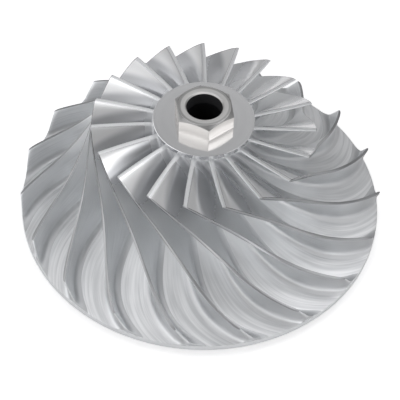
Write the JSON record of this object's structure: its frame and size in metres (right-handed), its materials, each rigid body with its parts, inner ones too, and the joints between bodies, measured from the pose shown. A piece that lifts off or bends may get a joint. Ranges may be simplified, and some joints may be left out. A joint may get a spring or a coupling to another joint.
{
  "type": "open centrifugal compressor impeller with its lock nut",
  "caption": "Open centrifugal compressor impeller, milled from aluminium, with backswept blades, a bored hub, a flat nose disc and a hexagon lock nut.",
  "frame": {"origin": "on the shaft axis at the rear face of the boss on which the wheel stands", "axes": "+Z along the shaft axis towards the nose and the nut; X and Y square to it"},
  "size_m": [0.25, 0.25, 0.1027],
  "materials": {
    "hub": "fine milled, satin",
    "blades": "milled and polished, bright edges",
    "nose": "turned and polished",
    "nut": "bright machined steel"
  },
  "bodies": {
    "root": {"rear_boss": "hub", "back_disc": "hub", "hub_core": "hub", "blade_01": "blades", "blade_02": "blades", "blade_03": "blades", "blade_04": "blades", "blade_05": "blades", "blade_06": "blades", "blade_07": "blades", "blade_08": "blades", "blade_09": "blades", "blade_10": "blades", "blade_11": "blades", "blade_12": "blades", "blade_13": "blades", "blade_14": "blades", "blade_15": "blades", "blade_16": "blades", "blade_17": "blades", "blade_18": "blades", "blade_19": "blades", "nose_disc": "nose", "hex_nut": "nut"}
  },
  "joints": []
}
